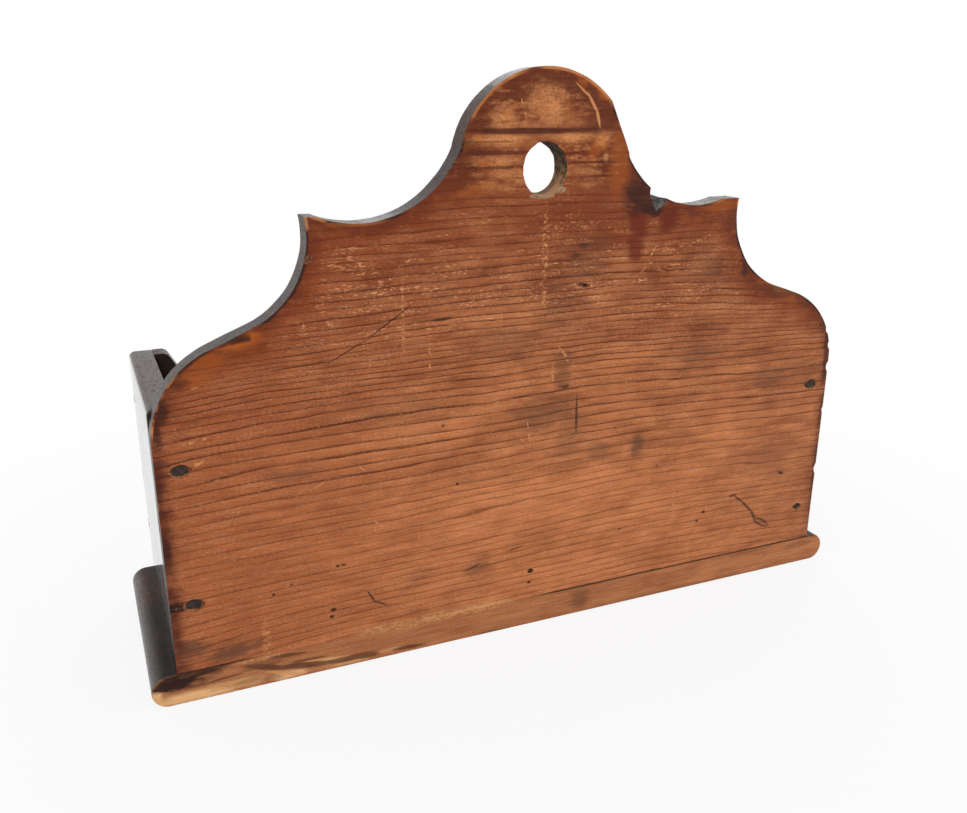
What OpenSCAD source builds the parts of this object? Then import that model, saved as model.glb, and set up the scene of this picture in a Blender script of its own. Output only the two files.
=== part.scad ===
// Antique wall-hanging candle box: an open trough of nailed pine boards with a
// shaped backboard. Millimetres. The box faces -Y, its flat back is at +Y, and
// the origin is the middle of the footprint, on the surface it stands on.

/* [Box] */
// Width over the two side boards, and of the backboard
box_w = 380; // [340:5:420]
// Depth from the back of the backboard to the front of the front board
box_d = 120; // [110:1:130]
// Height of the side boards above the base board
side_h = 129.5; // [126:0.5:134]
// Thickness of the side boards
side_t = 12.2; // [11:0.1:14]
// Thickness of the front board
front_t = 12; // [10:0.5:14]
// Rounding worn along the outer top edge of each side
side_round = 3.5; // [1:0.5:6]

/* [Base board] */
// Thickness of the base board, whose ends are full half-rounds
base_t = 16.5; // [14:0.5:20]
// Overhang of the base board past each side
base_over = 12.4; // [10:0.2:16]

/* [Backboard] */
// Thickness of the backboard
back_t = 12; // [10:0.5:14]
// Height of the crest above the base board
crest_h = 275.4; // [274:0.2:277]
// Radius of the half-round at the top of the crest
dome_r = 45; // [44:0.5:46]
// Radius of the hollow that sweeps from the dome to each horn
hollow_r = 53; // [52.5:0.5:54]
// Distance of each hollow's centre from the middle
hollow_x = 92; // [91.5:0.5:92.5]
// Height of the lowest point of the hollows above the base board
hollow_low = 208.2; // [207.5:0.1:209]
// Distance of each horn's tip from the middle
horn_x = 115.8; // [115.5:0.1:116.5]
// Height of each horn's tip above the base board
horn_h = 212; // [211:0.2:213]
// Radius of the hollow under each horn
under_r = 43; // [42:0.5:43.5]
// Distance of the under-horn hollow's centre from the middle
under_x = 158.4; // [158:0.2:159]
// Height of the under-horn hollow's centre above the base board
under_h = 205; // [204:0.5:206]
// Radius of the rounded cheeks beside the box
cheek_r = 45; // [43:0.5:46]
// Height above the base board where the cheeks become upright
cheek_h = 115; // [112:0.5:116]

/* [Hanging hole] */
// Radius of the hanging hole
hole_r = 11.5; // [9:0.5:13]
// Height of the hole's centre above the base board
hole_h = 229.3; // [225:0.1:232]

/* [Front scoop] */
// Level shoulder left beside each side board
scoop_shoulder = 6.8; // [4:0.2:20]
// Depth of the scoop below the top of the sides
scoop_depth = 42; // [36:1:60]
// Slope of the scoop's ends, in degrees from level
scoop_slope = 59.5; // [50:0.5:70]
// Rounding of the shoulders
shoulder_r = 4; // [2:0.5:6]
// Radius where the slopes run into the lip
lip_r = 24; // [10:1:30]

/* [Nails] */
// Width of a nail's shank under its head
nail_w = 3.4; // [2.4:0.2:4]
// Thickness of a nail's shank
nail_t = 2.2; // [1.6:0.2:2.6]
// Length of a nail's head across the grain it is sunk in
head_l = 7; // [5:0.5:9]
// Width of a nail's head
head_w = 4.2; // [3:0.2:5]
// Depth that the heads are sunk below the wood
nail_sunk = 0.8; // [0.4:0.1:1.2]
// Length of the nails in the backboard and the sides
nail_l = 32; // [26:1:36]
// Length of the nails in the base board
base_nail_l = 36; // [30:1:40]
// Outward lean of the nails in the backboard, in degrees
nail_toe = 7; // [4:1:8]
// Distance of the backboard's nails from its edges
nail_in = 11; // [9:0.5:11.5]

/* [Hidden] */
$fn = 96;

eps = 0.01;
head_h = 1.2;            // thickness of a nail's head
tip_w = 1.4;             // width of a nail's blunt tip
box_x = box_w / 2;       // outer face of a side
box_y = box_d / 2;       // back face, and minus the front face
in_x = box_x - side_t;   // inner face of a side
back_in = box_y - back_t;    // front face of the backboard
front_in = front_t - box_y;  // back face of the front board
base_x = box_x + base_over;  // end of the base board

// heights of the nails above the base board, as seen on the back: the upper
// pair is nearly level and the lower pair isn't
back_nails_l = [101.3, 22.6];
back_nails_r = [102.7, 35.1];
front_nails_h = [30, 104];
base_side_y = [-30, 8];
base_front_x = [-112, 0, 112];
base_back_x = [-124, 0, 124];

hollow_h = hollow_low + hollow_r;    // height of the hollows' centres
dome_h = crest_h - dome_r;           // height of the dome's centre
cheek_x = box_x - cheek_r;           // centre of a cheek

// where the dome's circle meets the hollow's, the lower of the two points
dh = norm([hollow_x, hollow_h - dome_h]);
da = (dome_r * dome_r - hollow_r * hollow_r + dh * dh) / (2 * dh);
db = sqrt(dome_r * dome_r - da * da);
du = [hollow_x, hollow_h - dome_h] / dh;
dome_end = [0, dome_h] + da * du + db * [du[1], -du[0]];

// the straight run between the cheek and the under-horn hollow touches both
span = norm([under_x - cheek_x, under_h - cheek_h]);
run_a = atan2(under_h - cheek_h, under_x - cheek_x) - acos((cheek_r + under_r) / span);
run_n = [cos(run_a), sin(run_a)];
cheek_end = [cheek_x, cheek_h] + cheek_r * run_n;
under_end = [under_x, under_h] - under_r * run_n;

function flip(p) = [-p[0], p[1]];

// the web between a corner and a circle of radius r that touches both of its
// edges; a1 and a2 are the directions of the edges, in degrees
module corner_web(p, a1, a2, r) {
    half = (a2 - a1) / 2;
    mid = (a1 + a2) / 2;
    difference() {
        polygon([p, p + r / tan(half) * [cos(a1), sin(a1)],
                 p + r / tan(half) * [cos(a2), sin(a2)]]);
        translate(p + r / sin(half) * [cos(mid), sin(mid)]) circle(r = r);
    }
}

// stands a drawing up: X stays, Y becomes height above the base board, and the
// solid runs from y0 towards the front for a thickness t
module upright(y0, t) {
    translate([0, y0, base_t]) rotate([90, 0, 0]) linear_extrude(height = t) children();
}

// ---- nails ------------------------------------------------------------------

// a cut nail driven towards -Z, its head's top at the origin
module cut_nail(length) {
    translate([-head_l / 2, -head_w / 2, -head_h]) cube([head_l, head_w, head_h]);
    rotate([90, 0, 0]) linear_extrude(height = nail_t, center = true)
        polygon([[-nail_w / 2, -head_h / 2], [nail_w / 2, -head_h / 2],
                 [tip_w / 2, -length], [-tip_w / 2, -length]]);
}

// the nail, or with open = true the space it takes up in the wood with the pit
// over its sunk head
module nail(length, open) {
    translate([0, 0, -nail_sunk]) cut_nail(length);
    if (open) translate([-head_l / 2, -head_w / 2, -nail_sunk - eps]) cube([head_l, head_w, 4]);
}

// through the backboard into the end of a side; s is -1 on the left side
module back_nails(s, heights, open = false) {
    for (h = heights)
        translate([s * (box_x - nail_in), box_y, base_t + h])
            rotate([0, 0, s * nail_toe]) rotate([-90, 0, 0]) nail(nail_l, open);
}

// through a side into the end of the front board
module front_nails(s, open = false) {
    for (h = front_nails_h)
        translate([s * box_x, front_in - front_t / 2, base_t + h])
            rotate([0, s * 90, 0]) rotate([0, 0, 90]) nail(nail_l, open);
}

// up through the base board
module base_nail(x, y, turn, open) {
    translate([x, y, 0]) rotate([180, 0, turn]) nail(base_nail_l, open);
}

module base_nails_side(s, open = false) {
    for (y = base_side_y) base_nail(s * (box_x - side_t / 2), y, 90, open);
}

module base_nails_row(xs, y, open = false) {
    for (x = xs) base_nail(x, y, 0, open);
}

front_row_y = front_in - front_t / 2;
back_row_y = back_in + back_t / 2;

// ---- boards -----------------------------------------------------------------

// the shaped blank, before any hole is made in it
module back_blank() {
    module slab(over = 0) upright(box_y + over, back_t + 2 * over) children();
    slab() translate([0, dome_h]) circle(r = dome_r);
    difference() {
        union() {
            slab() translate([-box_x, 0]) square([box_w, cheek_h]);
            for (s = [-1, 1]) slab() translate([s * cheek_x, cheek_h]) circle(r = cheek_r);
            slab() polygon([[-cheek_end[0], cheek_h - 1], flip(cheek_end), flip(under_end),
                            [-horn_x, horn_h], flip(dome_end), dome_end, [horn_x, horn_h],
                            under_end, cheek_end, [cheek_end[0], cheek_h - 1]]);
        }
        for (s = [-1, 1]) {
            slab(1) translate([s * hollow_x, hollow_h]) circle(r = hollow_r);
            slab(1) translate([s * under_x, under_h]) circle(r = under_r);
        }
    }
}

module backboard() {
    color("#9c5a34") difference() {
        back_blank();
        translate([0, box_y + 1, base_t + hole_h]) rotate([90, 0, 0]) cylinder(h = back_t + 2, r = hole_r);
        back_nails(-1, back_nails_l, true);
        back_nails(1, back_nails_r, true);
        base_nails_row(base_back_x, back_row_y, true);
    }
}

module base_board() {
    color("#33231d") difference() {
        translate([0, box_y, 0]) rotate([90, 0, 0]) linear_extrude(height = box_d) {
            translate([base_t / 2 - base_x, 0]) square([2 * base_x - base_t, base_t]);
            for (s = [-1, 1]) translate([s * (base_x - base_t / 2), base_t / 2]) circle(r = base_t / 2);
        }
        for (s = [-1, 1]) base_nails_side(s, true);
        base_nails_row(base_front_x, front_row_y, true);
        base_nails_row(base_back_x, back_row_y, true);
    }
}

// s is -1 for the left side and 1 for the right
module side_board(s, heights) {
    color("#2b1d19") difference() {
        upright(back_in, back_in + box_y) difference() {
            translate([s > 0 ? in_x : -box_x, 0]) square([side_t, side_h]);
            corner_web([s * box_x, side_h], s > 0 ? 180 : 270, s > 0 ? 270 : 360, side_round);
        }
        back_nails(s, heights, true);
        front_nails(s, true);
        base_nails_side(s, true);
    }
}

module left_side() { side_board(-1, back_nails_l); }
module right_side() { side_board(1, back_nails_r); }

// the opening cut down into the front board
scoop_top = in_x - scoop_shoulder;
scoop_low = scoop_top - scoop_depth / tan(scoop_slope);

module scoop() {
    over = 5;
    difference() {
        polygon([[-scoop_low, side_h - scoop_depth], [scoop_low, side_h - scoop_depth],
                 [scoop_top, side_h], [scoop_top, side_h + over],
                 [-scoop_top, side_h + over], [-scoop_top, side_h]]);
        for (m = [0, 1]) mirror([m, 0])
            corner_web([scoop_low, side_h - scoop_depth], scoop_slope, 180, lip_r);
    }
    for (m = [0, 1]) mirror([m, 0])
        corner_web([scoop_top, side_h], 180 + scoop_slope, 360, shoulder_r);
}

module front_board() {
    color("#2b1d19") difference() {
        upright(front_in, front_t) difference() {
            translate([-in_x, 0]) square([2 * in_x, side_h]);
            scoop();
        }
        for (s = [-1, 1]) front_nails(s, true);
        base_nails_row(base_front_x, front_row_y, true);
    }
}

module back_nails_left() { color("#3a3330") back_nails(-1, back_nails_l); }
module back_nails_right() { color("#3a3330") back_nails(1, back_nails_r); }
module front_nails_left() { color("#3a3330") front_nails(-1); }
module front_nails_right() { color("#3a3330") front_nails(1); }
module base_nails_left() { color("#3a3330") base_nails_side(-1); }
module base_nails_right() { color("#3a3330") base_nails_side(1); }
module base_nails_front() { color("#3a3330") base_nails_row(base_front_x, front_row_y); }
module base_nails_back() { color("#3a3330") base_nails_row(base_back_x, back_row_y); }

backboard();
base_board();
left_side();
right_side();
front_board();
back_nails_left();
back_nails_right();
front_nails_left();
front_nails_right();
base_nails_left();
base_nails_right();
base_nails_front();
base_nails_back();
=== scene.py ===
"""Looks for an antique wall-hanging candle box, seen from behind.

The boards are modelled in millimetres in the part's own frame and brought to metres when they are done: X is
across the box, the open front faces -Y, the back is at +Y, and Z is up from the surface it stands on.
"""

import math

import bpy
from mathutils import Matrix, Vector


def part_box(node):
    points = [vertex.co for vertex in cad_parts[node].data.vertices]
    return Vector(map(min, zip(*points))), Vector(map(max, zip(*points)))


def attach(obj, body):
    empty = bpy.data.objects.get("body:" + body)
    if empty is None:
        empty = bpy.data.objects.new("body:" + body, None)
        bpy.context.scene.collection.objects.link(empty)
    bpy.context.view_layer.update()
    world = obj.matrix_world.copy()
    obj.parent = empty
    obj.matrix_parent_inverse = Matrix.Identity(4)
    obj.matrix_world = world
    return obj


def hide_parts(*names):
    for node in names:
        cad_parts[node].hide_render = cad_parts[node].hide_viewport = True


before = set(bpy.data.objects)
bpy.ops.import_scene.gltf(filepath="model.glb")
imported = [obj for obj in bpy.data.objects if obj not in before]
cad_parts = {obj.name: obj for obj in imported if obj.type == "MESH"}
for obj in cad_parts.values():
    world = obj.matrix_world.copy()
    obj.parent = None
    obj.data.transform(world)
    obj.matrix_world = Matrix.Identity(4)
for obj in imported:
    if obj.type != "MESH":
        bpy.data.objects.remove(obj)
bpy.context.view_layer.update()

MM = 1000.0


def in_mm(node):
    """The lowest and highest corner of a node of the frame, in millimetres."""
    return [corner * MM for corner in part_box(node)]


BACKBOARD = in_mm("backboard")
BASE = in_mm("base_board")
LEFT = in_mm("left_side")
RIGHT = in_mm("right_side")
FRONT = in_mm("front_board")

BASE_T = BASE[1].z                    # thickness of the base board, and its top
BACK_Y = BACKBOARD[1].y               # the back face
BACK_IN = BACKBOARD[0].y              # front face of the backboard
HALF_W = BACKBOARD[1].x               # outer face of a side
SIDE_TOP = LEFT[1].z
SIDE_MID = (RIGHT[0].x + RIGHT[1].x) / 2
FRONT_MID = (FRONT[0].y + FRONT[1].y) / 2
BACK_MID = (BACK_IN + BACK_Y) / 2

# the backboard's outline as its maker sawed it, in mm: circles as (across, height, radius), with heights
# above the base board; 1 is the side at +X and -1 the side at -X
DOME = (-1.0, 229.9, 45.5)
FLAT = ((-34.2, 262.0), (-46.9, 234.0))   # two points on the straight bit sawn off the dome's shoulder
HOLLOW = {1: (92.2, 261.3, 53.3), -1: (88.8, 257.5, 48.6)}
UNDER = {1: (159.5, 204.2, 43.0), -1: (157.8, 204.1, 43.3)}
HORN_H = {1: 211.8, -1: 211.5}
CHEEK_R, CHEEK_H = 45.0, 115.0
CHEEK_X = HALF_W - CHEEK_R
HOLE_R, HOLE_H = 11.5, 229.3

# damage to the back, in mm: across to the right as seen from behind, height above the base board, and how far
# each hollow reaches across, along the board's thickness and up, or a hole's radius
TORN_LIP = ((-1.5, 216.8, 7.0, 1.7, 1.5), (8.0, 219.6, 3.0, 1.5, 1.9))
NICKS = ((-117.2, 193.5, 3.0, 1.0, 2.0), (186.9, 134.5, 1.6, 1.4, 3.0), (189.2, 124.0, 1.3, 1.0, 2.4),
         (190.4, 111.0, 1.6, 2.0, 3.0), (190.6, 46.5, 1.6, 2.2, 3.6), (190.4, 84.0, 1.0, 3.0, 2.0),
         (-190.4, 88.0, 1.1, 1.4, 3.0))
NAIL_TRACK = ((-188.3, 35.0, 4.8, 1.3, 1.4),)
PIN_HOLES = ((-113.0, 17.4, 1.3), (-114.0, 13.8, 1.0), (-3.5, 16.4, 1.5), (-4.1, 9.5, 0.9),
             (-109.8, 41.2, 0.8), (108.8, 31.4, 1.1), (24.0, 171.5, 1.2))

# the corner knocked off beside the dome, at -X: where its two breaks meet, the way into the wood from each,
# and how far the cut reaches along X and up
CHIP_FOOT = (-63.6, 207.0)
CHIP_BREAKS = ((-0.55, -0.42, -1.0), (1.0, -0.15, -0.55))
CHIP_X, CHIP_H = (-69.5, -59.5), (200.0, 226.0)

# the front board's scoop, in mm
SCOOP_SHOULDER, SCOOP_DEPTH, SCOOP_SLOPE = 6.8, 42.0, math.radians(59.5)
SHOULDER_R, LIP_R = 4.0, 24.0

# nails, in mm: their lengths, how far the back ones lean and stand in from the sides' outer faces, and one
# nail's own sizes
NAIL_L, BASE_NAIL_L, NAIL_TOE, NAIL_IN = 32.0, 36.0, math.radians(7), 11.0
HEAD_L, HEAD_W, HEAD_T, NAIL_W, NAIL_T, TIP_W, SUNK = 7.0, 4.2, 1.2, 3.4, 2.2, 1.4, 0.8
# where they are driven: heights above the base board, or places on the underside
BACK_NAILS = {-1: (101.3, 22.6), 1: (102.7, 35.1)}
FRONT_NAILS = (30.0, 104.0)
BASE_SIDE_Y = (-30.0, 8.0)
BASE_FRONT_X = (-112.0, 0.0, 112.0)
BASE_BACK_X = (-124.0, 0.0, 124.0)


# ---------------------------------------------------------------- materials


class Value:
    """A number, colour or vector on its way through the nodes. Sums on it add Math nodes."""

    def __init__(self, nodes, socket):
        self.nodes, self.socket = nodes, socket

    def math(self, operation, *others, clamp=False):
        return self.nodes.math(operation, self, *others, clamp=clamp)

    def __add__(self, other):
        return self.math("ADD", other)

    def __sub__(self, other):
        return self.math("SUBTRACT", other)

    def __rsub__(self, other):
        return self.nodes.math("SUBTRACT", other, self)

    def __mul__(self, other):
        return self.math("MULTIPLY", other)

    def __truediv__(self, other):
        return self.math("DIVIDE", other)

    def __pow__(self, other):
        return self.math("POWER", other)

    def __neg__(self):
        return self.math("MULTIPLY", -1.0)

    __radd__, __rmul__ = __add__, __mul__

    def least(self, other):
        return self.math("MINIMUM", other)

    def most(self, other):
        return self.math("MAXIMUM", other)

    def held(self):
        """Kept between 0 and 1."""
        return self.math("ADD", 0.0, clamp=True)

    def rise(self, start, end, low=0.0, high=1.0):
        """Goes smoothly from low to high as the value goes from start to end."""
        return self.nodes.node("ShaderNodeMapRange", {"interpolation_type": "SMOOTHSTEP"},
                               {0: self, 1: start, 2: end, 3: low, 4: high})


class Nodes:
    """The nodes of a material or of the world."""

    def __init__(self, owner):
        owner.use_nodes = True
        self.tree = owner.node_tree
        self.tree.nodes.clear()

    def node(self, kind, settings=None, inputs=None, out=0):
        """Adds a node with its settings and its inputs' values or links, and gives one of its outputs."""
        made = self.tree.nodes.new(kind)
        for name, value in (settings or {}).items():
            setattr(made, name, value)
        for name, value in (inputs or {}).items():
            if isinstance(value, Value):
                self.tree.links.new(value.socket, made.inputs[name])
            else:
                made.inputs[name].default_value = value
        return Value(self, made.outputs[out]) if made.outputs else None

    def math(self, operation, *values, clamp=False):
        return self.node("ShaderNodeMath", {"operation": operation, "use_clamp": clamp},
                         dict(enumerate(values)))

    def vector(self, operation, *values):
        """Vector Math. A length, a distance or a dot product comes out as a number."""
        number = operation in ("LENGTH", "DISTANCE", "DOT_PRODUCT")
        return self.node("ShaderNodeVectorMath", {"operation": operation}, dict(enumerate(values)),
                         out=int(number))

    def seen_white(self):
        """1 for the rays that show the white room itself: from the camera, a mirror or glass."""
        camera, mirror, glass = (self.node("ShaderNodeLightPath", out=f"Is {ray} Ray")
                                 for ray in ("Camera", "Glossy", "Transmission"))
        return camera.most(mirror).most(glass)


class Finish(Nodes):
    """A procedural material on object coordinates, read in millimetres."""

    def __init__(self, name, colour=None):
        self.material = bpy.data.materials.new(name)
        super().__init__(self.material)
        self.colour = colour
        place = self.node("ShaderNodeTexCoord", out="Object")
        self.place = self.node("ShaderNodeVectorMath", {"operation": "SCALE"}, {0: place, "Scale": MM})
        self.x, self.y, self.z = (
            self.node("ShaderNodeSeparateXYZ", None, {0: self.place}, out=axis) for axis in range(3))
        self.foot = BASE_T   # the height from which marks and scratches count

    def noise(self, size, detail, rough, seed):
        """Soft noise, 0 to 1, whose lumps are about size = (x, y, z) millimetres."""
        elsewhere = (seed, seed * 1.7, seed * 0.6)
        spread = self.vector("MULTIPLY_ADD", self.place, [1.0 / s for s in size], elsewhere)
        return self.node("ShaderNodeTexNoise", {"noise_dimensions": "3D"},
                         {"Vector": spread, "Scale": 1.0, "Detail": detail, "Roughness": rough})

    def chance(self, number, seed):
        """A steady random value for each whole number."""
        return self.node("ShaderNodeTexWhiteNoise", {"noise_dimensions": "1D"}, {"W": number + seed})

    def lay(self, over, amount, mode="MIX"):
        """Lays a colour over the finish's own."""
        colours = {6: self.colour, 7: over}
        for key, value in colours.items():
            if not isinstance(value, Value):
                colours[key] = (*value, 1.0)
        self.colour = self.node("ShaderNodeMix", {"data_type": "RGBA", "blend_type": mode},
                                {0: amount, **colours}, out=2)

    def marks(self, roughness, places, soft=0.45, ragged=None):
        """Soft ellipses (x, h, rx, rh, strength), whose edges a noise makes ragged. X counts from the middle
        to the right as seen from behind, and h from the foot."""
        uneven = ((ragged or self.ragged) - 0.5) * roughness
        result = None
        for x, h, rx, rh, strength in places:
            centre = (x / rx, 0, -(self.foot + h) / rh)
            near = self.vector("MULTIPLY_ADD", self.place, (1 / rx, 0, 1 / rh), centre)
            one = (self.vector("LENGTH", near) + uneven).rise(1.0 + soft, 1.0 - soft, 0.0, strength)
            result = one if result is None else result.most(one)
        return result

    def scratches(self, roughness, places):
        """Thin marks (x0, h0, x1, h1, width) that taper to both ends."""
        uneven = (self.ragged - 0.5) * roughness
        result = None
        for x0, h0, x1, h1, width in places:
            half = math.hypot(x1 - x0, h1 - h0) / 2
            middle = Vector((-(x0 + x1) / 2, 0, self.foot + (h0 + h1) / 2))
            way = Vector((x0 - x1, 0, h1 - h0)).normalized()
            square = None
            for axis in (way / (half * 1.12), Vector((-way.z, 0, way.x)) / (width * 0.62)):
                off = self.vector("DOT_PRODUCT", self.place, axis) - middle.dot(axis)
                square = off * off if square is None else off.math("MULTIPLY_ADD", off, square)
            one = (square + uneven).rise(1.5, 0.35)
            result = one if result is None else result.most(one)
        return result

    def surface(self, roughness, relief, shine, **others):
        """The finished material. Relief is the height of its surface, in millimetres."""
        bump = self.node("ShaderNodeBump", None, {"Strength": 1.0, "Distance": 1.0 / MM, "Height": relief})
        shader = self.node("ShaderNodeBsdfPrincipled", None, {
            "Base Color": self.colour, "Roughness": roughness, "Normal": bump, "Specular IOR Level": shine,
            **others})
        self.node("ShaderNodeOutputMaterial", None, {"Surface": shader})
        return self.material


# linear colours of the old pine
PINE_PALE = (0.560, 0.200, 0.074)
PINE_DEEP = (0.200, 0.050, 0.017)
PINE_RED = (0.310, 0.078, 0.025)
LATEWOOD = (0.090, 0.019, 0.006)
HARD_RING = (0.060, 0.011, 0.005)
DUSTY_FIBRE = (0.50, 0.25, 0.14)
PALE_FLECK = (0.68, 0.33, 0.145)
WORN_WOOD = (0.600, 0.255, 0.096)
# the pale of worn arrises, also used as a painted highlight on arrises that face up
WORN_ARRIS_AND_HIGHLIGHT = (0.54, 0.200, 0.062)
RUBBED_WOOD = (0.57, 0.228, 0.080)
CRUMBLED_WOOD = (0.62, 0.31, 0.125)
# of the base board's back edge
EDGE_DEEP = (0.270, 0.078, 0.028)
EDGE_PALE = (0.470, 0.195, 0.080)
EDGE_WARM = (0.50, 0.190, 0.075)
YELLOW_WOOD = (0.76, 0.44, 0.20)
SCRAPED_WOOD = (0.60, 0.30, 0.12)
TORN_FIBRE = (0.58, 0.29, 0.115)
# of what lies on the wood
SHELLAC = (0.105, 0.018, 0.004)
SHELLAC_ORANGE_AND_HIGHLIGHT = (0.380, 0.090, 0.012)
SHELLAC_AMBER = (0.182, 0.031, 0.005)
SHELLAC_LINE = (0.33, 0.075, 0.016)
RED_DRIP = (0.118, 0.014, 0.003)
# old varnish, also used for a painted shadow beside the chip
OLD_VARNISH_AND_SHADOW = (0.024, 0.007, 0.005)
DIRT = (0.120, 0.050, 0.026)
DAMP_STAIN = (0.062, 0.0095, 0.006)
BLACK_STAIN = (0.058, 0.020, 0.012)
SOOT = (0.022, 0.011, 0.008)
VARNISH = (0.014, 0.0070, 0.0052)
VARNISH_THIN = (0.066, 0.024, 0.011)
VARNISH_RUBBED = (0.155, 0.058, 0.022)
DUST = (0.060, 0.048, 0.040)
# and of the nails
IRON_DARK = (0.034, 0.028, 0.025)
IRON_RUST = (0.075, 0.034, 0.021)

OILED_SHINE = 0.14   # Specular IOR Level of the bare wood
# crumbled fibres along the joint of backboard and base: they begin and end over these distances across
CRUMBS = ((-106.0, -92.0), (-4.0, -30.0))


def growth_rings(f):
    """Pine grain that runs across the back, a little higher in the middle: the dark latewood lines, the
    shading that fades away above each line, the fine fibres, and how far up its ring a point lies."""
    drift = f.noise((150, 400, 60), 1.0, 0.5, 3.1)
    ripple = f.noise((34, 400, 12), 2.0, 0.5, 9.4)
    uneven = f.noise((900, 900, 9.0), 1.0, 0.5, 5.5)
    off = f.across - 30.0
    level = f.up + off * off * 0.00014 + (drift - 0.5) * 9.0 + (ripple - 0.5) * 2.4
    # rings are about 4 mm apart, 6 mm near heights 108 and 238, and 3 mm near 141
    count = level * 0.25 + (uneven - 0.5) * 1.3 - 1.0
    for height, spread, change in ((108.0, 22.0, -2.0), (141.0, 17.0, 1.9), (238.0, 14.0, -1.2)):
        count = count + ((level - height) / spread).math("TANH") * change
    ring = count.math("FLOOR")
    part = count.math("FRACT")
    weight = f.chance(ring, 0.5) * 0.55 + 0.45
    broken = f.noise((26, 400, 5), 3.0, 0.62, 1.3).rise(0.30, 0.54, 0.40, 1.0)
    line = part.rise(0.20, 0.06).most(part.rise(0.97, 1.0)) * weight * broken
    shade = (1.0 - part) ** 2.2 * (f.chance(ring, 7.5) * 0.6 + 0.4)
    fibres = f.noise((13, 60, 0.5), 2.0, 0.55, 2.2)
    return line, shade, fibres, part


def edge_distance(f):
    """Millimetres inwards from the backboard's sawn outline."""
    upright = f.vector("MULTIPLY", f.place, (1, 0, 1))

    def inside(x, h, radius):
        return radius - f.vector("DISTANCE", upright, (x, 0, BASE_T + h))

    (x, h), (low_x, low_h) = FLAT
    run = math.hypot(x - low_x, h - low_h)
    flat = (x - f.x) * ((low_h - h) / run) + (h - f.up) * ((x - low_x) / run)
    edge = HALF_W - f.across.math("ABSOLUTE")
    edge = edge.least(inside(*DOME).least(flat).most(DOME[1] + 8.0 - f.up))
    for side in (-1, 1):
        cheek = inside(side * CHEEK_X, CHEEK_H, CHEEK_R)
        edge = edge.least(cheek.most(CHEEK_X - f.x * side).most(CHEEK_H - f.up))
        for x, h, radius in (HOLLOW[side], UNDER[side]):
            edge = edge.least(-inside(side * x, h, radius))
    return edge


def clean_pine(f):
    """The wood itself, palest low in the middle, deeper high up and towards the sides, redder at the left."""
    line, shade, fibres, part = growth_rings(f)
    side = f.across / HALF_W
    tone = f.up.rise(220.0, 50.0, 0.20, 0.80) - side * side * 0.24
    tone = tone + (f.cloud - 0.5) * 1.3 + (f.smear - 0.5) * 0.8 + (f.blotch - 0.5) * 0.8
    f.lay(PINE_PALE, tone.held())
    f.lay(PINE_RED, f.across.rise(-20.0, -170.0) * 0.5)
    plain = f.up.rise(66.0, 95.0, 0.60, 1.0) * f.up.rise(130.0, 180.0, 1.0, 1.12)
    f.lay(LATEWOOD, (shade * 0.36 + line * 0.84).held() * plain)
    f.lay(1.0 + (fibres - 0.5) * 0.9 + (f.grit - 0.5) * 0.7, 1.0, "MULTIPLY")
    f.lay(DUSTY_FIBRE, (f.grit + (f.smear - 0.5) * 0.6).rise(0.50, 0.72) * 0.20)
    return line, fibres, part


def rubbed_ridges(f, part, fleck):
    """Small pale flecks where the ridges between the lines are rubbed through, most of them high up."""
    patch = f.noise((22, 400, 4.0), 2.0, 0.55, 23.0)
    rubbed = f.up.rise(135.0, 168.0) * f.up.rise(222.0, 204.0) * (0.4 + part.rise(0.2, 0.45) * 0.6)
    high = fleck.rise(0.53, 0.68) * patch.rise(0.44, 0.60) * rubbed
    anywhere = fleck.rise(0.62, 0.78) * patch.rise(0.38, 0.58) * 0.6
    f.lay(PALE_FLECK, high.most(anywhere) * 0.9)


def dirt_and_damp(f):
    """Soft brownish smears of dirt and damp."""
    smeared = f.ragged + (f.smear - 0.5) * 0.8
    dirt = f.marks(2.6, (
        (60, 80, 3.8, 4.6, 0.8), (36, 82, 7, 6, 0.45), (12.5, 127, 4, 10, 0.55), (4, 106, 15, 8, 0.5),
        (-35, 25, 7, 4.5, 0.5), (146, 109, 10, 5.5, 0.4), (-132, 93, 11, 3.5, 0.4),
        (18, 92, 9, 14, 0.4), (24, 186, 10, 12, 0.4), (172, 112, 8, 6, 0.3), (-70, 27, 8, 5, 0.3),
        (-20, 147, 16, 8, 0.35), (96, 128, 20, 7, 0.3), (-78, 118, 22, 6, 0.25),
        (10, 160, 14, 12, 0.25), (150, 60, 22, 12, 0.25), (-163, 7, 11, 3.5, 0.75),
        (-184, 12, 7, 6, 0.8), (100, 175, 14, 10, 0.3)), 0.75, smeared)
    f.lay(DIRT, dirt)


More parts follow.
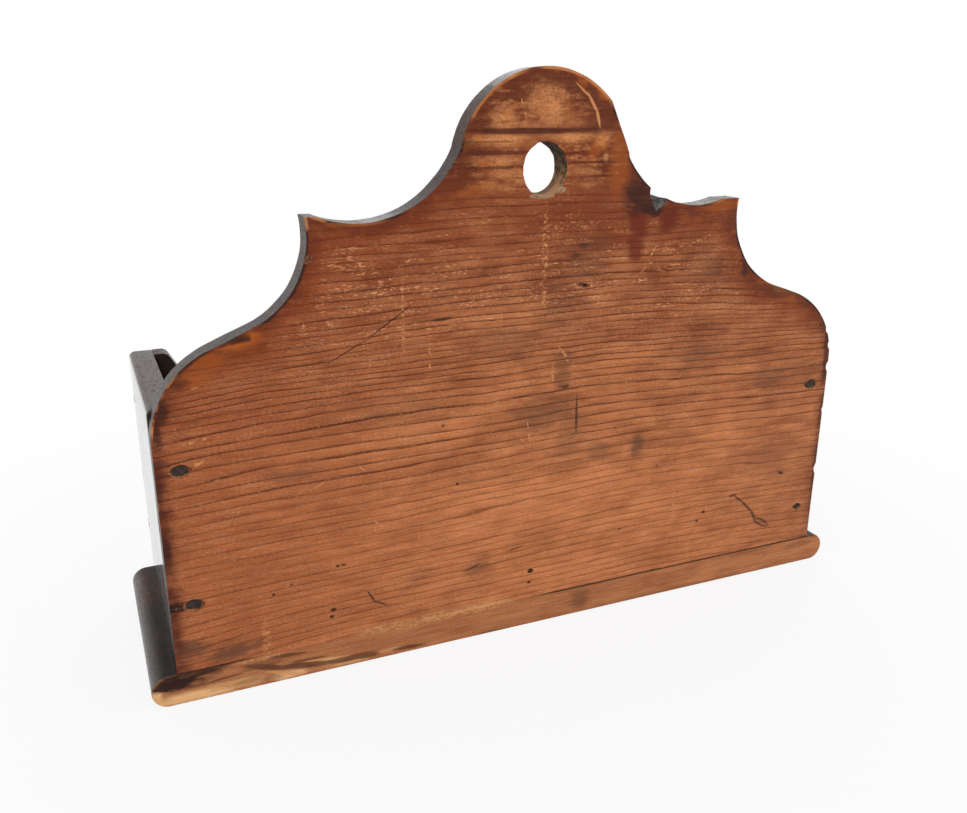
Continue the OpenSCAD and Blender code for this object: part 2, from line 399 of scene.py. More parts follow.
def shellac_with_painted_highlights(f):
    """Shellac that ran over from the front: amber well in from the shaped edge, deep red-brown on the crest,
    with orange patches, partly a painted highlight on edges that face up, and red drips under the chip. Also
    gives how much smoother it makes the wood."""
    reach = f.edge + (f.ragged - 0.5) * 10.0 + (f.cloud - 0.5) * 22.0
    high = f.up.rise(112.0, 155.0)
    crest = f.up.rise(206.0, 230.0)
    amber = (reach.rise(20.0, 4.0) * high).most(f.up.rise(172.0, 214.0) * 0.7)
    deep = (reach.rise(9.0, 0.5) * high * 0.75).most(crest * reach.rise(28.0, 9.0))
    f.lay(SHELLAC_AMBER, amber * 0.66)
    f.lay(SHELLAC, deep * 0.84)
    # the orange marks at the lower edges of the hollows and on the cheek are a painted highlight; the orange
    # mottling in the deep shellac is the shellac's own
    glow = f.marks(1.2, (
        (-152, 160, 12, 4.5, 0.95), (-164, 152, 9, 4, 0.5), (102, 208, 12, 3, 0.5),
        (41, 232, 6, 16, 0.5), (-168, 145, 7, 4, 0.4)))
    glow = glow.most(deep * f.noise((12, 60, 9), 2.0, 0.5, 29.0).rise(0.52, 0.66) * 0.6)
    f.lay(SHELLAC_ORANGE_AND_HIGHLIGHT, glow)
    drips = f.marks(1.4, (
        (53.5, 202, 5.5, 11, 0.92), (52.5, 189, 4.5, 7, 0.9), (71.5, 203, 6, 7, 0.98),
        (63, 207, 10, 3, 0.9), (162, 81, 17, 2, 0.45), (-57, 198, 7, 1, 0.6)))
    f.lay(RED_DRIP, drips * 0.88)
    return deep * 0.24 + drips * 0.12 + amber * 0.08


def edge_stains_wear_and_painted_light(f):
    """Black varnish on the arris, a painted shadow by the chip, damp stain up both edges, and pale up-facing
    arrises: worn wood and a painted highlight.
    """
    lip = f.noise((22, 60, 22), 2.0, 0.5, 31.0)
    top = f.up.rise(255.0, 264.0)
    shaped = (1.0 - top) * f.up.rise(120.0, 150.0)
    rim = (f.edge + (f.ragged - 0.5) * 2.4).rise(1.9, 0.4) * lip.rise(0.38, 0.52) * shaped
    stain = (f.edge + (f.ragged - 0.5) * 8.0).rise(8.4, 1.6) * f.up.rise(150.0, 120.0)
    stain = stain * f.across.rise(60.0, -60.0, 0.5, 1.0)
    stain = stain * f.noise((60, 60, 12), 2.0, 0.5, 35.0).rise(0.30, 0.56, 0.45, 1.0)
    # the first two dark marks, beside the chip, are a painted shadow; the others are old varnish and stains
    dark = f.marks(2.2, (
        (53, 215, 8, 7.5, 0.9), (61, 209, 7, 4, 0.95), (-187, 36, 5, 2.2, 0.95),
        (-189, 62, 2.6, 8, 0.7), (-187, 121, 2.2, 7, 0.7), (-184, 132, 2.6, 6, 0.75),
        (-176, 143, 4, 2.4, 0.5), (188, 127, 2.6, 8, 0.85), (184, 140, 3.4, 5, 0.6),
        (123, 177, 3, 9, 0.7), (22, 192, 2.4, 1.4, 0.6), (18, 187, 3, 1.8, 0.5), (14, 119.5, 3, 1, 0.8),
        (189, 80, 2, 16, 0.6), (-189, 92, 1.8, 6, 0.6), (188.5, 118, 2.4, 14, 0.8),
        (178, 148, 7, 2.8, 0.6), (189.5, 44, 1.8, 22, 0.6)), 0.5)
    f.lay(DAMP_STAIN, stain * 0.88)
    f.lay(OLD_VARNISH_AND_SHADOW, rim.most(dark) * 0.9)
    # the pale lines on the dome's top and on the lower edges of the hollows and the cheek are partly worn
    # wood and partly a painted highlight where these arrises face up; glint is a painted highlight
    rubbed = f.marks(0.8, (
        (-114, 210, 6, 4, 0.9), (108, 210, 10, 2.6, 0.6), (-31, 258, 8, 8, 0.7),
        (-92, 207, 24, 2, 0.35), (150, 161, 26, 5, 0.25)))
    worn = f.edge.rise(1.8, 0.8) * (top * lip.rise(0.34, 0.54)).most(rubbed)
    glint = f.edge.rise(1.1, 0.6) * f.marks(1.2, ((-189, 127, 4, 12, 0.9), (-183, 144, 7, 7, 0.7)))
    f.lay(WORN_ARRIS_AND_HIGHLIGHT, (worn * 0.85).most(glint * f.blotch.rise(0.42, 0.60)))


def rubbed_crest(f, part, speck):
    """The crest, rubbed on its ridges above and beside the hole, with hard dark rings left between them."""
    ridge = part.rise(0.18, 0.36) * part.rise(1.0, 0.88)
    rub = f.noise((7.0, 60, 2.6), 4.0, 0.68, 41.0)
    zone = f.marks(0.8, ((-4, 256, 30, 13, 0.8), (-2, 231, 42, 15, 0.9)), 0.6)
    worn = (rub + zone * 0.12).rise(0.52, 0.74) * zone * ridge.most(f.up.rise(247.0, 249.5)) * 0.75
    bald = f.marks(2.2, (
        (1, 259, 9, 8, 1), (4, 251.5, 11, 2.6, 0.75), (-22, 252, 6, 4, 0.95), (-22, 243, 14, 2.5, 1),
        (14, 243.4, 11, 2, 1), (31, 242.6, 4, 3.2, 0.8), (-23, 233.5, 12, 2.1, 0.85),
        (-18, 227, 12, 2, 0.8), (33, 234, 1.2, 2.2, 0.8), (-25, 221.5, 9, 1.5, 0.6),
        (24, 221, 7, 1.6, 0.5), (18, 228, 7, 1.8, 0.6)), 0.85)
    f.lay(RUBBED_WOOD, worn.most(bald) * speck * rub.rise(0.30, 0.56, 0.35, 1.0))
    rings = f.marks(0.5, (
        (-12, 246.6, 34, 1.3, 0.85), (32, 246.8, 16, 0.9, 0.4), (-30, 242, 14, 0.5, 0.5),
        (-24, 237.2, 20, 0.8, 0.6), (-24, 230.4, 20, 0.7, 0.6), (26, 231.6, 14, 0.6, 0.5)), 0.35)
    f.lay(HARD_RING, rings)
    return rings


def scratched(f, fleck, beads):
    """Scratches, pale where they reach clean wood and dark where they hold dirt, and small dark specks. Also
    gives how deep they cut."""
    long_one = f.scratches(1.0, (
        (15.5, 268, 23.8, 261, 0.7), (21.8, 263.4, 27.2, 255, 1.3), (26.5, 257, 28.8, 248.6, 1.3)))
    f.lay(WORN_WOOD, long_one * 0.85)
    pale = f.scratches(1.8, (
        (-13.5, 262, -9, 248, 0.7), (13, 138.5, 15.4, 133, 1.1), (9.5, 141.5, 13.4, 136.5, 0.7),
        (-90.5, 62.5, -85.5, 57.5, 0.8), (-91, 60, -89.5, 56, 0.7), (60.5, 181.5, 66, 190.5, 0.9),
        (56.5, 176, 63, 181, 1), (-178, 115.2, -171, 115.8, 1.3), (-171, 116.2, -165, 116.6, 1.1),
        (-97, 92, -92, 88, 0.7), (-12.5, 96.5, -7, 90, 0.7), (-7, 103, -5, 88, 0.7),
        (-175, 103.5, -169, 106, 1.8), (-184, 99.2, -176, 99, 1), (-38, 72, -35, 66, 0.5),
        (44, 60, 47, 52, 0.5), (-120, 84, -112, 88, 0.5), (88, 96, 94, 92, 0.5),
        (-171, 140, -166, 140.6, 1)))
    dashes = f.scratches(1.6, (
        (0.9, 210, 0.9, 160, 2.6), (-72.9, 184, -72.9, 143, 1.2), (-147, 19, -147, -3, 3.6),
        (87, 49, 87, 27, 2), (7, 133, 7, 122, 1.4), (100, 16, 99, 4, 1), (-60, 150, -60, 135, 1)))
    pale = pale.most(dashes * fleck.rise(0.38, 0.60)) * beads
    f.lay(WORN_WOOD, pale * 0.85)
    scored = f.scratches(1.5, (
        (21.5, 112.5, 21.8, 94, 1), (-135, 144.6, -108, 145.8, 0.5), (-109, 145.4, -90.5, 154.8, 0.5),
        (-91.5, 154, -69.5, 168.6, 0.5), (-94.9, 23.6, -91, 16.5, 0.8), (-91.4, 17.4, -85.5, 14.3, 0.8),
        (129.5, 38.6, 136.4, 33, 1), (135.6, 33.8, 144.2, 25.4, 1.3), (143.4, 26.4, 148, 18.6, 1.5),
        (126.5, 38.2, 132, 38.6, 1.4), (-42, 24.3, -33.5, 26.8, 0.7), (-58, 160.6, -48.5, 161.2, 1.5),
        (160.6, 48.6, 165, 46.6, 0.9), (19.5, 172.4, 27, 171, 1.6), (-17, 30.9, -8, 32.6, 0.5)))
    loop = f.scratches(0.8, ((146.6, 20.0, 157.4, 13.8, 3.8),))
    loop = loop - f.scratches(0.8, ((147.6, 19.4, 156.4, 14.4, 1.5),)) * 0.8
    scored = scored.most(loop)
    f.lay(SOOT, scored * 0.75)
    specks = f.marks(1.0, (
        (-46, 74.7, 0.9, 0.8, 0.9), (-142, 32.4, 0.7, 0.7, 0.9), (-133, 36, 0.7, 0.6, 0.7),
        (163, 47.4, 1.2, 1, 0.7), (-107, 41.4, 1.3, 0.6, 0.8), (52, 31, 0.7, 0.6, 0.7),
        (104.5, 26.5, 0.9, 0.7, 0.9), (-53.5, 107, 0.8, 0.7, 0.7), (74, 66, 0.7, 0.7, 0.6)))
    f.lay(SOOT, specks)
    return scored * 0.3 + specks * 0.5 + pale * 0.06


def joint_with_base(f, beads, speck):
    """The dark crack above the base board, with crumbled fibres along the left of the middle."""
    crack = (f.up + (f.ragged - 0.5)).rise(1.1, 0.3)
    crack = crack * f.across.rise(-8.0, 12.0).most(f.across.rise(-146.0, -160.0))
    f.lay(SOOT, crack * 0.9)
    crumbs = (f.up + (f.ragged - 0.5) * 4.0).rise(4.2, 1.6) * (beads * 0.6 + speck * 0.4)
    crumbs = crumbs * f.across.rise(*CRUMBS[0]) * f.across.rise(*CRUMBS[1])
    f.lay(CRUMBLED_WOOD, crumbs * 0.85)


def bare_back():
    """The bare back: old oiled pine with shellac run over its edges, dirt, wear and scratches."""
    f = Finish("bare_pine_back", PINE_DEEP)
    f.across, f.up = -f.x, f.z - BASE_T   # across to the right as seen from behind, up from the base board
    f.edge = edge_distance(f)
    f.cloud = f.noise((55, 400, 24), 3.0, 0.6, 4.0)
    f.smear = f.noise((24, 400, 3.6), 3.0, 0.62, 6.6)
    f.blotch = f.noise((13, 400, 10), 3.0, 0.62, 7.7)
    f.grit = f.noise((1.5, 20, 0.9), 2.0, 0.65, 8.8)
    f.ragged = f.noise((7, 60, 3.2), 3.0, 0.62, 12.0)
    fleck = f.noise((2.2, 60, 0.75), 2.0, 0.6, 21.0)
    beads = f.noise((3, 60, 1.5), 2.0, 0.6, 51.0).rise(0.42, 0.60)
    speck = f.grit.rise(0.28, 0.55, 0.35, 1.0)

    line, fibres, part = clean_pine(f)
    rubbed_ridges(f, part, fleck)
    dirt_and_damp(f)
    smooth = shellac_with_painted_highlights(f)
    edge_stains_wear_and_painted_light(f)
    rings = rubbed_crest(f, part, speck)
    cuts = scratched(f, fleck, beads)
    joint_with_base(f, beads, speck)
    roughness = 0.56 - smooth + (fibres - 0.5) * 0.2 + (f.grit - 0.5) * 0.15
    relief = (fibres - 0.5) * 0.14 + (f.smear - 0.5) * 0.22 + (f.cloud - 0.5) * 0.6
    relief = relief - line * 0.14 - cuts - rings * 0.4
    return f.surface(roughness.held(), relief, OILED_SHINE)


def bare_base_edge():
    """The back edge of the base board: the same pine, knocked about, and worn to yellow wood at one end."""
    f = Finish("bare_pine_base_edge", EDGE_DEEP)
    f.across, f.up, f.foot = -f.x, f.z, 0.0
    cloud = f.noise((34, 400, 9), 3.0, 0.6, 14.0)
    f.ragged = f.noise((8, 60, 2.6), 3.0, 0.62, 16.0)
    fibres = f.noise((20, 60, 0.55), 2.0, 0.55, 18.0)
    streaks = f.noise((44, 60, 1.5), 3.0, 0.62, 19.0)
    grit = f.noise((1.5, 20, 1.0), 2.0, 0.65, 8.8)
    tone = (cloud - 0.5) * 1.4 + (streaks - 0.5) * 0.9 + 0.60
    f.lay(EDGE_PALE, tone.held())
    f.lay(EDGE_WARM, f.across.rise(30.0, 110.0) * cloud.rise(0.35, 0.6) * 0.5)
    f.lay(LATEWOOD, streaks.rise(0.55, 0.70) * 0.28)
    f.lay(1.0 + (fibres - 0.5) * 0.9 + (grit - 0.5) * 0.6, 1.0, "MULTIPLY")

    # worn to yellow wood, then stained black, with scrapes through the stain
    yellow = f.marks(1.8, (
        (-184, 2.6, 20, 3.4, 1), (-160, 4, 12, 2.6, 0.6), (-138, 3, 9, 2.4, 0.9), (-200, 8, 2.5, 6, 1),
        (-116, 5.5, 7, 2, 0.6), (-104, 2, 9, 1.2, 0.5), (-84, 4, 6, 1.2, 0.4)), 0.55)
    f.lay(YELLOW_WOOD, yellow * (0.66 + (streaks - 0.3) * 1.2).held())
    dark = f.marks(1.9, (
        (-189, 12, 13, 4.4, 0.98), (-175, 14.2, 9, 2.2, 0.85), (-158, 4.8, 7, 2, 0.45),
        (-146, 3.4, 5, 1.6, 0.5), (-150, 12, 10, 2.6, 0.45), (28, 9, 6, 6, 0.5),
        (-28, 0.8, 10, 0.9, 0.6), (100, 1.4, 44, 1, 0.4), (184, 13, 8, 2.2, 0.4),
        (140, 14.8, 24, 0.9, 0.35)), 0.5)
    strokes = f.scratches(1.5, (
        (-158, 12.8, -138, 7.2, 2.8), (-143, 8.2, -116, 4.4, 3), (-121, 5, -99, 3.6, 2.4),
        (-148, 14.8, -129, 13.4, 1.7), (-135, 9.4, -118, 8.6, 1), (-105, 4.8, -91, 3.2, 3.2),
        (-83, 3.4, -66, 2.4, 1.8), (-176, 8.6, -160, 9.6, 1)))
    f.lay(BLACK_STAIN, dark.most(strokes * 0.88) * (0.75 + (streaks - 0.4) * 0.8).held())
    f.lay(OLD_VARNISH_AND_SHADOW, f.marks(2.4, ((-191, 12.0, 10, 3.4, 0.95), (-181, 15.0, 9, 1.6, 0.8))))
    scrapes = f.scratches(1.4, (
        (-147, 7, -131, 1.6, 1.7), (-128, 8, -112, 6.6, 0.8), (-170, 5.2, -156, 6.4, 1.2)))
    f.lay(SCRAPED_WOOD, scrapes * 0.8)

    # torn fibres and the dark crack under the backboard, and a thin orange line along the lower arris
    crumbs = f.noise((2.0, 60, 1.0), 3.0, 0.65, 61.0).rise(0.42, 0.60)
    at_left = f.across.rise(-166.0, -158.0) * f.across.rise(-138.0, -144.0)
    torn = f.up.rise(13.8, 15.4) * at_left.most(f.across.rise(*CRUMBS[0]) * f.across.rise(*CRUMBS[1]))
    f.lay(TORN_FIBRE, torn * crumbs * 0.7)
    crack = f.up.rise(15.6, 16.2) * f.across.rise(-8.0, 12.0).most(f.across.rise(-160.0, -170.0))
    f.lay(SOOT, crack * 0.7)
    f.lay(SHELLAC_LINE, f.up.rise(1.8, 0.3) * f.ragged.rise(0.40, 0.58) * 0.6)
    relief = (fibres - 0.5) * 0.16 + (cloud - 0.5) * 0.9 + (streaks - 0.5) * 0.3 + (grit - 0.5) * 0.12
    return f.surface(0.60, relief, OILED_SHINE)


def varnish(name, grain, skin, bare=0.0, dust=0.0, pitted=0.6, ends=0.0):
    """Nearly black old varnish that shows the wood's streaks, grain = (x, y, z) mm long, where it is thin.
    Bare says how far it is rubbed, skin how much of its gloss is left, ends how much more the rounded ends of
    the base have, and pitted how dull the specks in it are."""
    f = Finish(name, VARNISH)
    cloud = f.noise((55, 55, 32), 3.0, 0.6, 71.0)
    streaks = f.noise(grain, 3.0, 0.62, 73.0)
    fibres = f.noise([size * 0.3 for size in grain], 2.0, 0.6, 74.0)
    specks = f.noise((1.3, 1.3, 1.3), 3.0, 0.65, 75.0)
    chips = f.noise((9.0, 9.0, 5.0), 4.0, 0.68, 77.0)
    thin = streaks.rise(0.46, 0.70) * 0.75 + cloud.rise(0.42, 0.72) * 0.5 + (fibres - 0.5) * 0.5
    f.lay(VARNISH_THIN, thin.held())
    if bare:
        rubbed = chips + (streaks - 0.5) * 0.5 + (fibres - 0.5) * 0.2
        rubbed = rubbed.rise(0.72 - bare * 0.18, 0.78 - bare * 0.14)
        f.lay(VARNISH_RUBBED, (rubbed * (0.35 + bare * 0.55)).held())
    if dust:
        f.lay(DUST, (cloud.rise(0.30, 0.75) * dust).held())
    shine = 0.08 + 0.3 * skin
    if ends:
        out = f.x.math("ABSOLUTE")
        skin = out.rise(HALF_W + 5.0, HALF_W + 10.5) * ends + skin + out.rise(HALF_W + 3.0, HALF_W) * 0.10
        shine = 0.10
    dull = specks + (cloud - 0.5) * 0.25 + (fibres - 0.5) * 0.2
    left = skin * (1.0 - dull.rise(0.54, 0.62) * pitted)
    roughness = 0.38 + cloud.rise(0.35, 0.75) * 0.12 + specks.rise(0.5, 0.7) * 0.2
    relief = (streaks - 0.5) * 0.12 + (fibres - 0.5) * 0.10 + (specks - 0.5) * 0.06 + (cloud - 0.5) * 0.3
    return f.surface(roughness, relief, shine, **{"Coat Weight": left.held(), "Coat Roughness": 0.07})


def raw_wall(name, pale, dark, lumps, lip=0.0):
    """Rough bare wood in holes, the chip and round the nails. Lip is how pale the hanging hole's lip is, and
    with it the hole's upper half also gets a painted shade.
    """
    f = Finish(name, dark)
    cloud = f.noise((4.0, 5.0, 4.0), 3.0, 0.6, 81.0)
    rough = f.noise(lumps, 3.0, 0.62, 83.0)
    amount = cloud.rise(0.3, 0.7) * 0.4 + (rough - 0.40) * 1.6
    if lip:
        middle = BASE_T + HOLE_H
        low = (middle - 3.0 - f.z + (cloud - 0.5) * 8.0).rise(0.0, 8.0)
        out = (f.y + (rough - 0.5) * 3.0).rise(BACK_Y - 9.0, BACK_Y - 2.0)
        # the upper half of the hole's wall, which faces down, is painted darker: a painted shade
        amount = amount + low * out * lip - (f.z - middle).rise(-5.0, 6.0) * 0.35
    f.lay(pale, amount.held())
    return f.surface(0.8, (rough - 0.5) * 0.5 + (cloud - 0.5) * 0.8, 0.25)


def old_iron():
    """Dark cut nails with a little rust."""
    f = Finish("old_iron", IRON_DARK)
    cloud = f.noise((2.2, 2.2, 2.2), 3.0, 0.6, 91.0)
    pits = f.noise((0.6, 0.6, 0.6), 3.0, 0.7, 93.0)
    f.lay(IRON_RUST, cloud.rise(0.45, 0.7))
    roughness = 0.40 + pits.rise(0.35, 0.7) * 0.35
    relief = (pits - 0.5) * 0.25 + (cloud - 0.5) * 0.3
    return f.surface(roughness, relief, 0.2, Metallic=cloud.rise(0.62, 0.42, 0.0, 0.6))


BARE_BACK = bare_back()
BASE_EDGE = bare_base_edge()
VARNISH_ACROSS = varnish("dark_varnish_across", (110, 14, 2.4), 0.55, bare=0.15)
VARNISH_ENDWAYS = varnish("dark_varnish_endways", (14, 110, 2.4), 1.0, bare=0.12, pitted=0.22)
VARNISH_TOPS = varnish("rubbed_varnish_on_top_edges", (26, 40, 3.0), 0.42, bare=0.35)
VARNISH_SAWN = varnish("dull_varnish_on_sawn_edges", (3, 9, 2.4), 0.18, bare=0.3)
VARNISH_LEDGE = varnish("dull_varnish_on_ledges", (24, 46, 3.0), 0.05, bare=0.3, ends=0.45)
ARRIS = varnish("worn_arris", (30, 30, 2.4), 0.4, bare=0.9)
INSIDE = varnish("dusty_inside", (60, 60, 2.6), 0.12, bare=0.3, dust=0.55)
HOLE_WALL = raw_wall("hanging_hole_wall", (0.48, 0.25, 0.12), (0.034, 0.018, 0.012), (5.0, 0.7, 5.0), lip=0.9)
CRUSHED_WOOD = raw_wall("wood_crushed_by_nails", (0.56, 0.22, 0.075), (0.045, 0.020, 0.012), (1.2, 1.2, 0.8))
TORN_WOOD = raw_wall("torn_wood", (0.66, 0.43, 0.26), (0.20, 0.095, 0.045), (2.2, 1.2, 0.7))
CHIPPED_WOOD = raw_wall("old_chip", (0.28, 0.265, 0.240), (0.030, 0.026, 0.025), (1.2, 3.0, 0.8))
IRON = old_iron()


# ---------------------------------------------------------------- modelling


def alone(piece):
    """Selects one piece and nothing else."""
    bpy.ops.object.select_all(action="DESELECT")
    piece.select_set(True)
    bpy.context.view_layer.objects.active = piece


def placed(name):
    """Names the new primitive and puts its size and place into its mesh."""
    piece = bpy.context.object
    piece.name = name
    bpy.ops.object.transform_apply(location=True, rotation=True, scale=True)
    return piece


def block(name, low, high, slices=()):
    """A block between two corners. Each slice (point, outward normal) takes a corner off."""
    low, high = Vector(low), Vector(high)
    bpy.ops.object.select_all(action="DESELECT")
    bpy.ops.mesh.primitive_cube_add(size=1, location=(low + high) / 2)
    bpy.context.object.scale = high - low
    piece = placed(name)
    bpy.ops.object.mode_set(mode="EDIT")
    for point, normal in slices:
        bpy.ops.mesh.select_all(action="SELECT")
        bpy.ops.mesh.bisect(plane_co=point, plane_no=normal, use_fill=True, clear_outer=True)
    bpy.ops.object.mode_set(mode="OBJECT")
    return piece


def disc(name, x, h, radius, y_low, y_high, sides=192):
    """A round slab that faces front and back; h is above the base board."""
    bpy.ops.object.select_all(action="DESELECT")
    bpy.ops.mesh.primitive_cylinder_add(
        vertices=sides, radius=radius, depth=y_high - y_low,
        location=(x, (y_low + y_high) / 2, BASE_T + h), rotation=(math.radians(90), 0, 0))
    return placed(name)


def apply_all(piece):
    """Applies a piece's modifiers."""
    alone(piece)
    for modifier in list(piece.modifiers):
        bpy.ops.object.modifier_apply(modifier=modifier.name)


def carve(piece, tool, operation="DIFFERENCE"):
    """Cuts a piece with a tool, or adds the tool to it, and throws the tool away."""
    cut = piece.modifiers.new("carve", "BOOLEAN")
    cut.operation, cut.solver, cut.object, cut.material_mode = operation, "EXACT", tool, "TRANSFER"
    apply_all(piece)
    bpy.data.objects.remove(tool)
    if not piece.data.polygons:
        raise RuntimeError(f"nothing is left of {piece.name}")


def pick(piece, test, faces=False):
    """Selects the edges or faces that pass the test and opens the piece for editing.
    An edge's test gets its middle and its direction, a face's its middle and its normal."""
    alone(piece)
    bpy.context.tool_settings.mesh_select_mode = (False, not faces, faces)
    bpy.ops.object.mode_set(mode="EDIT")
    bpy.ops.mesh.select_all(action="DESELECT")
    bpy.ops.object.mode_set(mode="OBJECT")
    mesh = piece.data
    if faces:
        for face in mesh.polygons:
            face.select = bool(test(face.center, face.normal))
    else:
        for edge in mesh.edges:
            a, b = (mesh.vertices[i].co for i in edge.vertices)
            edge.select = bool(test((a + b) / 2, b - a))
    bpy.ops.object.mode_set(mode="EDIT")


def done():
    """Closes a piece after editing."""
    bpy.ops.object.mode_set(mode="OBJECT")


def round_off(piece, width, segments, test):
    """Rounds the edges that pass the test."""
    pick(piece, test)
    bpy.ops.mesh.bevel(offset=width, segments=segments, affect="EDGES", clamp_overlap=True)
    done()


def redrawn(piece, depth):
    """Takes one flat face of a carved board, the one towards +Y, and draws it out to a clean board again."""
    pick(piece, lambda mid, normal: normal.y < 0.99, faces=True)
    bpy.ops.mesh.delete(type="FACE")
    bpy.ops.mesh.select_all(action="SELECT")
    bpy.ops.mesh.remove_doubles(threshold=0.02)
    bpy.ops.mesh.dissolve_limited(angle_limit=math.radians(0.2), use_dissolve_boundaries=False)
    bpy.ops.mesh.select_all(action="SELECT")
    bpy.ops.mesh.extrude_region_move(TRANSFORM_OT_translate={"value": (0, -depth, 0)})
    bpy.ops.mesh.select_all(action="SELECT")
    bpy.ops.mesh.normals_make_consistent(inside=False)
    done()


def divide_edges(piece, test):
    """Divides the edges over 9.6 mm long that pass the test, so that they can be worn uneven."""
    pick(piece, lambda mid, run: run.length > 9.6 and test(mid, run))
    bpy.ops.mesh.subdivide(number_cuts=10)
    done()


def hand_worn(piece, amount, size, ways):
    """Makes edges slightly uneven, by moving points up to amount either way along each of ways."""
    for number, way in enumerate(ways):
        cloud = bpy.data.textures.new(f"{piece.name}_wear_{way}", "CLOUDS")
        cloud.noise_scale, cloud.noise_depth = size * (1 + 0.3 * number), 3
        wear = piece.modifiers.new("wear", "DISPLACE")
        wear.texture, wear.texture_coords, wear.direction = cloud, "LOCAL", way
        wear.strength, wear.mid_level = 2 * amount, 0.5
    apply_all(piece)


def ease(piece, width, segments=3, angle=40):
    """Eases every sharp arris."""
    bevel = piece.modifiers.new("ease", "BEVEL")
    bevel.width, bevel.segments, bevel.limit_method = width, segments, "ANGLE"
    bevel.angle_limit, bevel.use_clamp_overlap, bevel.miter_outer = math.radians(angle), True, "MITER_ARC"
    apply_all(piece)


def paint(piece, choose, keep=(CRUSHED_WOOD,)):
    """Gives each face the finish that choose(middle, normal) names, but keeps what tools left in cuts."""
    mesh = piece.data
    kept = {mesh.materials.find(material.name) for material in keep} - {-1}
    for face in mesh.polygons:
        if face.material_index not in kept:
            material = choose(face.center, face.normal)
            if material.name not in mesh.materials:
                mesh.materials.append(material)
            face.material_index = mesh.materials.find(material.name)


def finished(piece, node, smooth=30):
    """Brings a piece from millimetres to metres, shades it, hangs it under the root and hides the part that
    it stands for.
    """
    alone(piece)
    piece.scale = (1 / MM,) * 3
    bpy.ops.object.transform_apply(location=True, rotation=True, scale=True)
    bpy.ops.object.shade_smooth_by_angle(angle=math.radians(smooth))
    even = piece.modifiers.new("flat_faces_shade_flat", "WEIGHTED_NORMAL")
    even.keep_sharp = True
    apply_all(piece)
    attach(piece, "root")
    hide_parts(node)


# where each nail is driven: the matrix's origin is on the wood over the head, and the nail runs to its -Z


def back_nail(side, h):
    """Through the backboard into a side, leaning a little outwards."""
    return (Matrix.Translation((side * (HALF_W - NAIL_IN), BACK_Y, BASE_T + h))
            @ Matrix.Rotation(side * NAIL_TOE, 4, "Z") @ Matrix.Rotation(math.radians(-90), 4, "X"))


def front_nail(side, h):
    """Through a side into the end of the front board."""
    return (Matrix.Translation((side * HALF_W, FRONT_MID, BASE_T + h))
            @ Matrix.Rotation(side * math.radians(90), 4, "Y") @ Matrix.Rotation(math.radians(90), 4, "Z"))


def base_nail(x, y, turn=0.0):
    """Up through the base board, with its head turned along the board above."""
    return (Matrix.Translation((x, y, 0)) @ Matrix.Rotation(math.radians(turn), 4, "Z")
            @ Matrix.Rotation(math.radians(180), 4, "X"))


NAILS = {
    "back_nails_left": [back_nail(-1, h) for h in BACK_NAILS[-1]],
    "back_nails_right": [back_nail(1, h) for h in BACK_NAILS[1]],
    "front_nails_left": [front_nail(-1, h) for h in FRONT_NAILS],
    "front_nails_right": [front_nail(1, h) for h in FRONT_NAILS],
    "base_nails_left": [base_nail(-SIDE_MID, y, 90) for y in BASE_SIDE_Y],
    "base_nails_right": [base_nail(SIDE_MID, y, 90) for y in BASE_SIDE_Y],
    "base_nails_front": [base_nail(x, FRONT_MID) for x in BASE_FRONT_X],
    "base_nails_back": [base_nail(x, BACK_MID) for x in BASE_BACK_X],
}


def joined(pieces):
    """Makes several pieces one."""
    bpy.ops.object.select_all(action="DESELECT")
    for piece in pieces:
        piece.select_set(True)
    bpy.context.view_layer.objects.active = pieces[0]
    bpy.ops.object.join()
    return pieces[0]


def lens_tool(name, places, material, wear):
    """Ragged lenses (place matrix, half length, half width, depth) joined into a tool that pits the wood."""
    tools = []
    for number, (place, *size) in enumerate(places):
        bpy.ops.object.select_all(action="DESELECT")
        bpy.ops.mesh.primitive_uv_sphere_add(segments=24, ring_count=12, radius=1)
        tool = placed(name)
        for point in tool.data.vertices:
            point.co.y *= 1 - 0.45 * abs(point.co.x) ** 1.5
            point.co = (point.co.x * size[0], point.co.y * size[1], point.co.z * size[2])
        tool.data.transform(place)
        hand_worn(tool, wear * min(size), min(size) * (1.2 + 0.2 * (number % 3)), ("X", "Y", "Z"))
        tools.append(tool)
    tool = joined(tools)
    tool.data.materials.append(material)
    return tool


def nail_pits(places, long=5.6, wide=3.3, deep=1.6):
    """Crushed wood round nail heads."""
    return lens_tool("nail_pits", [(place, long, wide, deep) for place in places], CRUSHED_WOOD, 0.2)


def pit_back(board, name, places, material, wear=0.25):
    """Hollows the back face at places (across, height, and how far each hollow reaches across, in and up)."""
    lenses = [(Matrix.Translation((-x, BACK_Y, BASE_T + h)), *size) for x, h, *size in places]
    carve(board, lens_tool(name, lenses, material, wear))


def leaning(a, b, side):
    """The upright plane through two points of the outline, facing up and out."""
    out = Vector((side * abs(b[1] - a[1]), 0, abs(b[0] - a[0])))
    return (side * a[0], 0, BASE_T + a[1]), out.normalized()


